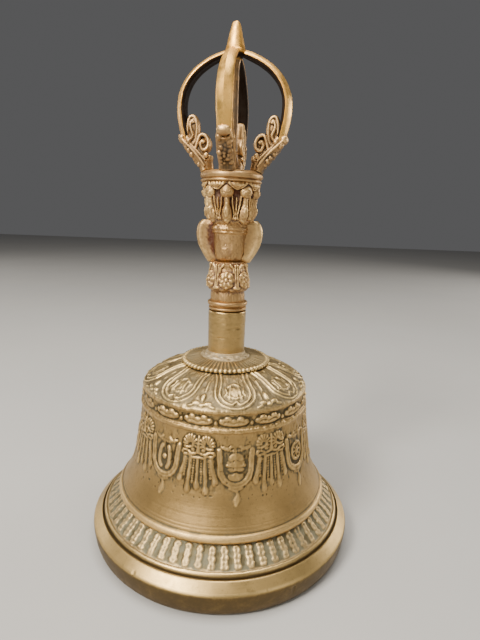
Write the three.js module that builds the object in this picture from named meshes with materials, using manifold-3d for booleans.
// Tibetan hand bell (ghanta / drilbu) with a half-vajra handle.
// Millimetres, +Z up, mouth of the bell on z = 0, the front of the bell towards -Y.
import * as THREE from "three";
import Module from "manifold-3d";
import { mergeVertices } from "three/addons/utils/BufferGeometryUtils.js";

const wasm = await Module();
wasm.setup();
const { Manifold, Mesh } = wasm;
const rad = THREE.MathUtils.degToRad;

// ---- driving dimensions -------------------------------------------------
const GAP = 0.3;                    // clearance between pieces that touch
const LIP_R = 48.0;                 // widest radius of the lip
const MOUTH_IN = 43.2;              // inner radius of the flat mouth rim
const MOUTH_OUT = 45.4;             // outer radius of the flat mouth rim
const CROWN_Z = 65.6;               // flat seat on top of the bell
const CROWN_IN_Z = 62.9;            // underside of the crown
const DISC_R = 15.8;                // fluted rosette under the tube
const DISC_TOP = 68.2;
const BORE_R = 4.9;                 // bore of the handle tube
const TUBE_Z = [68.6, 84.9];
const COLLAR_Z = [85.2, 88.5];
const KNOT_Z = [88.8, 101.3];
const HEAD_Z = [101.6, 113.6];
const LOTUS_Z = [113.9, 128.2];
const SEAT_Z = [128.5, 132.2];
const SEAT_R = 10.45;
const CAGE_TURN = 9.5;              // the four prongs are turned this far about Z, degrees
const TIP_Z = 177.5;
const STAPLE_R = 3.4;               // half width of the U staple
const STAPLE_LOW = 58.0;            // centreline of its lowest point: first swing axis
const WIRE = 0.9;
const LINK_R = 4.2;                 // link ring centreline radius
const EYE_R = 2.7;                  // clapper eye centreline radius
const EYE_WIRE = 1.0;
const BOB_R = 7.2;
const BOB_Z = [7.5, 21.0];

// ---- materials ------------------------------------------------------------
const metal = (color, roughness) => new THREE.MeshStandardMaterial({ color, roughness, metalness: 0.9 });
const BRONZE = metal(0x9c7a48, 0.42);
const TUBE_BRASS = metal(0xa98650, 0.36);
const HANDLE = metal(0x8d6238, 0.45);
const PRONG = metal(0xa5743f, 0.38);
const SOLDER = metal(0xb9ab92, 0.55);
const IRON = metal(0x4a4038, 0.6);

// ---- solids ---------------------------------------------------------------
function solid(geometry) {
  const g = new THREE.BufferGeometry();
  g.setAttribute("position", geometry.getAttribute("position").clone());
  if (geometry.index) g.setIndex(geometry.index.clone());
  const m = mergeVertices(g, 1e-4);
  const triVerts = Uint32Array.from(m.index.array);
  const vertProperties = Float32Array.from(m.getAttribute("position").array);
  const s = new Manifold(new Mesh({ numProp: 3, vertProperties, triVerts }));
  return s.volume() < 0 ? flipped(vertProperties, triVerts) : s;
}

function flipped(vertProperties, triVerts) {
  for (let i = 0; i < triVerts.length; i += 3) {
    [triVerts[i + 1], triVerts[i + 2]] = [triVerts[i + 2], triVerts[i + 1]];
  }
  return new Manifold(new Mesh({ numProp: 3, vertProperties, triVerts }));
}

// Turned piece from [radius, height] pairs; the outline closes on itself or ends on the axis.
// ripple(r, z, angle) may move a point in or out.
function turned(outline, segments, ripple = null) {
  const onAxis = outline[0][0] === 0;
  const pts = onAxis ? outline : [...outline, outline[0]];
  const g = new THREE.LatheGeometry(pts.map(([r, z]) => new THREE.Vector2(r, z)), segments);
  g.rotateX(Math.PI / 2);
  if (ripple) {
    const p = g.getAttribute("position");
    for (let i = 0; i < p.count; i++) {
      const [x, y, z] = [p.getX(i), p.getY(i), p.getZ(i)];
      const r = Math.hypot(x, y);
      if (r < 1e-6) continue;
      const k = (r + ripple(r, z, Math.atan2(y, x))) / r;
      p.setXYZ(i, x * k, y * k, z);
    }
  }
  return solid(g);
}

// Closed skin through rings of equal length, capped with fans at both ends.
function loft(rings) {
  const n = rings[0].length;
  const verts = rings.flat().flatMap((v) => [v.x, v.y, v.z]);
  const tris = [];
  for (let i = 0; i + 1 < rings.length; i++) {
    for (let j = 0; j < n; j++) {
      const [a, b] = [i * n + j, i * n + ((j + 1) % n)];
      tris.push(a, b, a + n, b, b + n, a + n);
    }
  }
  for (const [ring, base, turn] of [[rings[0], 0, true], [rings.at(-1), (rings.length - 1) * n, false]]) {
    const c = ring.reduce((s, v) => s.add(v), new THREE.Vector3()).divideScalar(n);
    const k = verts.length / 3;
    verts.push(c.x, c.y, c.z);
    for (let j = 0; j < n; j++) {
      const [a, b] = [base + j, base + ((j + 1) % n)];
      tris.push(...(turn ? [k, b, a] : [k, a, b]));
    }
  }
  const g = new THREE.BufferGeometry();
  g.setAttribute("position", new THREE.Float32BufferAttribute(verts, 3));
  g.setIndex(tris);
  return solid(g);
}

// Round wire of radius w along a list of points.
function wire(points, w, sides = 10, closed = false) {
  const path = new THREE.CatmullRomCurve3(points.map((p) => new THREE.Vector3(...p)), closed, "centripetal");
  const ring = new THREE.Shape();
  ring.absarc(0, 0, w, 0, 2 * Math.PI, false);
  const steps = Math.max(8, points.length * 2);
  return solid(new THREE.ExtrudeGeometry(ring, { steps, extrudePath: path, curveSegments: sides / 2 }));
}

// Torus whose axis is "x" or "y".
function hoop(radius, w, axis, segments = 24, sides = 10) {
  const g = new THREE.TorusGeometry(radius, w, sides, segments);
  if (axis === "x") g.rotateY(Math.PI / 2);
  if (axis === "y") g.rotateX(Math.PI / 2);
  return solid(g);
}

const ball = (r, x, y, z, fine = 10) => solid(new THREE.SphereGeometry(r, fine, Math.max(6, fine * 0.6)))
  .translate([x, y, z]);
const rod = (r, z0, z1, x = 0, y = 0) => Manifold.cylinder(z1 - z0, r, r, 24).translate([x, y, z0]);
const fuse = (parts) => parts.reduce((a, b) => a.add(b));
const spun = (s, deg) => s.rotate([0, 0, deg]);

// ---- assembly ---------------------------------------------------------------
const group = new THREE.Group();
group.name = "tibetan_bell";

function piece(name, s, material) {
  const m = s.getMesh();
  const g = new THREE.BufferGeometry();
  const pos = new Float32Array((m.vertProperties.length / m.numProp) * 3);
  for (let i = 0; i < pos.length / 3; i++) {
    for (let k = 0; k < 3; k++) pos[3 * i + k] = m.vertProperties[m.numProp * i + k];
  }
  g.setAttribute("position", new THREE.BufferAttribute(pos, 3));
  g.setIndex(new THREE.BufferAttribute(Uint32Array.from(m.triVerts), 1));
  g.computeVertexNormals();
  const mesh = new THREE.Mesh(g, material);
  mesh.name = name;
  group.add(mesh);
}

// Bell: one casting. Thick rounded lip, fence band, skirt edge, flared wall, frieze band, dome.
const bellOutline = [
  [0, CROWN_IN_Z], [7, CROWN_IN_Z], [14, 62.4], [20, 61.0], [24.4, 58.6], [26.2, 55.4],
  [27.0, 51.0], [27.8, 45.0], [28.7, 38.0], [29.7, 32.0], [31.2, 26.0], [33.0, 21.0],
  [35.4, 16.0], [39.2, 11.0], [41.5, 6.0], [42.7, 1.5], [MOUTH_IN, 0],
  [MOUTH_OUT, 0], [46.7, 0.7], [47.5, 2.4], [LIP_R - 0.05, 4.8], [LIP_R, 6.6], [47.5, 8.5], [46.6, 9.5],
  [44.9, 11.1], [44.3, 11.0], [44.0, 11.9], [43.3, 12.4], [42.8, 12.3], [40.0, 15.0], [37.2, 17.5],
  [36.7, 18.0], [37.5, 18.1], [38.2, 18.8], [38.1, 19.8], [36.9, 21.8], [35.3, 24.8], [33.5, 28.8],
  [32.0, 35.0], [31.2, 40.6], [30.4, 46.5], [29.9, 51.0], [30.4, 51.5], [30.4, 52.5], [29.5, 53.0],
  [29.3, 57.2], [29.7, 57.7], [29.5, 58.6], [28.5, 59.8], [26.4, 61.3], [23.5, 62.9], [20.0, 64.2],
  [16.3, CROWN_Z - 0.1], [15.2, CROWN_Z], [0, CROWN_Z],
];
const legHole = (x) => rod(WIRE + 0.35, CROWN_IN_Z - 2, CROWN_Z + 1, x);
piece("bell_shell", turned(bellOutline, 52).subtract(fuse([legHole(STAPLE_R), legHole(-STAPLE_R)])), BRONZE);

// Fluted rosette disc under the handle tube.
const FLUTES = 36;
const flute = (r, z, a) => (r > 7 && z > CROWN_Z + 0.5 ? 0.28 * Math.cos(a * FLUTES) * (r / DISC_R) : 0);
piece("crown_rosette", turned([
  [4.7, CROWN_Z + GAP], [14.9, CROWN_Z + GAP], [DISC_R - 0.2, 66.2], [DISC_R - 0.2, 66.8],
  [14.6, 67.2], [8.9, DISC_TOP], [4.7, DISC_TOP],
], 2 * FLUTES, flute), BRONZE);

piece("solder_fillet", turned([
  [6.95, DISC_TOP + GAP], [8.7, DISC_TOP + GAP], [8.2, 69.0], [7.6, 69.5], [7.25, 70.4], [6.95, 70.6],
], 30), SOLDER);

piece("handle_tube", turned([
  [BORE_R, TUBE_Z[0]], [6.58, TUBE_Z[0]], [6.62, 76.0], [6.7, TUBE_Z[1] - 0.4], [6.4, TUBE_Z[1]],
  [BORE_R, TUBE_Z[1]],
], 32), TUBE_BRASS);

piece("collar_ring", turned([
  [BORE_R, COLLAR_Z[0]], [5.9, COLLAR_Z[0]], [5.9, 85.8], [6.7, 85.9], [7.1, 86.5], [7.14, 87.2],
  [6.8, 88.0], [6.2, COLLAR_Z[1]], [BORE_R, COLLAR_Z[1]],
], 30), HANDLE);

// Knot with six rosettes and the spigot that plugs the tube.
const knotBody = turned([
  [0, 70.6], [BORE_R - GAP, 70.6], [BORE_R - GAP, KNOT_Z[0]], [6.0, KNOT_Z[0]], [5.8, 91.6], [6.7, 92.2],
  [7.2, 93.4], [7.1, 96.5], [6.7, 99.0], [6.1, KNOT_Z[1]], [0, KNOT_Z[1]],
], 28);
const rosettes = [];
for (let k = 0; k < 6; k++) {
  const boss = hoop(2.3, 0.75, "y", 12, 5).translate([0, -6.95, 96.0]);
  const heart = ball(1.05, 0, -7.1, 96.0, 7);
  rosettes.push(spun(boss.add(heart), 60 * k - 2));
}
piece("rosette_knot", fuse([knotBody, ...rosettes]), HANDLE);

// Head drum with its headband, and the two crescent flanges at the ears.
piece("head", turned([
  [0, HEAD_Z[0]], [4.3, HEAD_Z[0]], [4.9, 103.0], [5.5, 105.6], [5.7, 109.0], [5.6, 111.8], [6.0, 112.2],
  [6.0, 112.8], [5.75, 113.0], [6.0, 113.2], [6.0, HEAD_Z[1]], [0, HEAD_Z[1]],
], 32), HANDLE);

function ear(side) {
  // [inner x, outer x, z, half thickness] up the flange
  const rows = [
    [5.9, 6.9, 102.0, 0.5], [6.4, 8.9, 104.2, 1.1], [6.4, 10.1, 106.4, 1.4], [6.4, 11.0, 109.2, 1.5],
    [6.4, 11.4, 111.4, 1.5], [6.4, 11.4, 113.3, 1.4], [9.5, 11.1, 115.2, 1.2], [9.6, 10.7, 116.8, 0.9],
    [9.7, 10.3, 118.0, 0.5],
  ];
  const rings = rows.map(([xi, xo, z, t]) => {
    const xm = (xi + xo) / 2;
    return [[xi, -t], [xm, -t * 1.15], [xo - 0.2, -t * 0.6], [xo, 0], [xo - 0.2, t * 0.6], [xm, t * 1.15], [xi, t]]
      .map(([x, y]) => new THREE.Vector3(side * x, y, z));
  });
  return loft(rings);
}
piece("ear_left", ear(-1), HANDLE);
piece("ear_right", ear(1), HANDLE);

// Lotus crown: eight beads over eight hanging petals.
const lotusBody = turned([
  [0, LOTUS_Z[0]], [6.3, LOTUS_Z[0]], [8.2, 114.6], [8.3, 117.0], [8.3, 120.0], [8.6, 123.0],
  [9.0, 125.0], [8.9, 127.2], [9.1, 127.6], [9.1, LOTUS_Z[1]], [0, LOTUS_Z[1]],
], 32);
const petals = [];
for (let k = 0; k < 8; k++) {
  const bead = ball(2.0, 0, -8.2, 125.6, 7);
  const petal = solid(new THREE.SphereGeometry(1, 7, 6)).scale([1.7, 0.75, 4.2]).translate([0, -8.25, 119.4]);
  petals.push(spun(bead.add(petal), 45 * k - 9));
}
piece("lotus_crown", fuse([lotusBody, ...petals]), HANDLE);

piece("vajra_seat", turned([
  [0, SEAT_Z[0]], [9.7, SEAT_Z[0]], [SEAT_R, 129.1], [SEAT_R, 130.0], [10.1, 130.3], [SEAT_R, 130.6],
  [SEAT_R, 131.5], [9.7, SEAT_Z[1]], [0, SEAT_Z[1]],
], 32), HANDLE);

// One prong in the plane x = 0, bowed towards -Y: makara base, ridged blade, inward tip.
function prong() {
  // [radius, z, half width, inner depth, outer ridge height]
  const rows = [
    [7.7, 132.5, 2.2, 2.0, 2.0], [8.7, 134.6, 2.8, 2.6, 2.4], [10.2, 136.8, 3.1, 3.0, 2.9],
    [11.9, 139.0, 3.1, 2.7, 2.8], [13.6, 141.4, 2.7, 1.9, 2.0], [15.1, 144.0, 2.45, 1.4, 1.75],
    [16.5, 147.0, 2.5, 1.35, 1.85], [17.1, 150.2, 2.55, 1.35, 1.85], [17.1, 153.4, 2.55, 1.35, 1.85],
    [16.4, 156.8, 2.45, 1.3, 1.8], [14.7, 160.2, 2.3, 1.25, 1.7], [12.0, 163.2, 2.1, 1.2, 1.6],
    [8.6, 165.6, 1.85, 1.15, 1.5], [5.2, 167.0, 1.55, 1.1, 1.4], [1.75, 167.5, 1.0, 1.0, 1.1],
  ];
  const path = new THREE.CatmullRomCurve3(rows.map(([r, z]) => new THREE.Vector3(0, -r, z)), false, "centripetal");
  const last = rows.length - 1;
  const rings = rows.map(([r, z, w, inner, ridge], i) => {
    const t = i === last ? new THREE.Vector3(0, 1, 0) : path.getTangent(i / last);
    if (i === 0) t.set(0, 0, 1);
    const out = new THREE.Vector3(0, -t.z, t.y);
    const at = (x, o) => new THREE.Vector3(x, -r, z).addScaledVector(out, o);
    return [at(0, ridge), at(w * 0.75, ridge * 0.35), at(w, -inner * 0.25), at(w * 0.7, -inner),
      at(-w * 0.7, -inner), at(-w, -inner * 0.25), at(-w * 0.75, ridge * 0.35)];
  });
  const snout = wire([[0, -12.0, 139.2], [0, -14.6, 139.6], [0, -16.6, 141.0], [0, -17.3, 143.0]], 1.05, 8);
  const jaw = ball(1.5, 0, -8.6, 140.6, 8);
  const curl = ball(1.15, 0, -6.9, 138.4, 8);
  const root = ball(2.1, 0, -8.6, 138.4, 8);
  return fuse([loft(rings), snout, root, jaw, curl]);
}
const sides = { front: 0, right: 90, back: 180, left: 270 };
for (const [side, turn] of Object.entries(sides)) {
  piece(`prong_${side}`, spun(prong(), turn - CAGE_TURN), PRONG);
}

piece("central_prong", turned([
  [0, SEAT_Z[1] + GAP], [3.2, SEAT_Z[1] + GAP], [3.0, 133.6], [2.0, 135.4], [1.6, 138.0], [1.5, 150.0],
  [1.4, 162.0], [1.25, 165.0], [1.25, 168.9], [3.2, 169.1], [3.1, 169.7], [2.5, 171.3], [1.7, 174.2],
  [1.0, 176.8], [0.6, TIP_Z], [0, TIP_Z],
], 20), PRONG);

// Clapper: staple clenched inside the tube, link ring, iron clapper.
const STAPLE_TOP = CROWN_Z + 1.6;
const half = [];
for (let a = 0; a <= 90; a += 18) {
  const [s, c] = [Math.sin(rad(a)), Math.cos(rad(a))];
  half.push([STAPLE_R * s, 0, STAPLE_LOW + STAPLE_R * (1 - c)]);
}
const right = [...half, [STAPLE_R, 0, 63.0], [STAPLE_R, 0, STAPLE_TOP]];
const left = right.slice(1).reverse().map(([x, y, z]) => [-x, y, z]);
const clench = (s) => ball(WIRE + 0.25, s * STAPLE_R, 0, STAPLE_TOP, 10);
piece("clapper_staple", fuse([wire([...left, ...right], WIRE, 8), clench(1), clench(-1)]), IRON);

const linkZ = STAPLE_LOW + WIRE + GAP + WIRE - LINK_R;
piece("clapper_link", hoop(LINK_R, WIRE, "x", 24, 8).translate([0, 0, linkZ]), IRON);

const eyeAxisZ = linkZ - LINK_R;
const eyeZ = eyeAxisZ + WIRE + GAP + EYE_WIRE - EYE_R;
const clapper = turned([
  [0, eyeZ - EYE_R - 0.6], [1.3, eyeZ - EYE_R - 0.6], [1.5, 40.0], [1.7, 26.0], [2.4, 22.4],
  [4.6, BOB_Z[1] - 0.6], [6.5, 18.4], [BOB_R, 15.2], [7.0, 12.2], [5.6, 9.2], [3.4, BOB_Z[0] + 0.2],
  [0, BOB_Z[0]],
], 24);
piece("clapper", clapper.add(hoop(EYE_R, EYE_WIRE, "y", 20, 8).translate([0, 0, eyeZ])), IRON);

export default group;
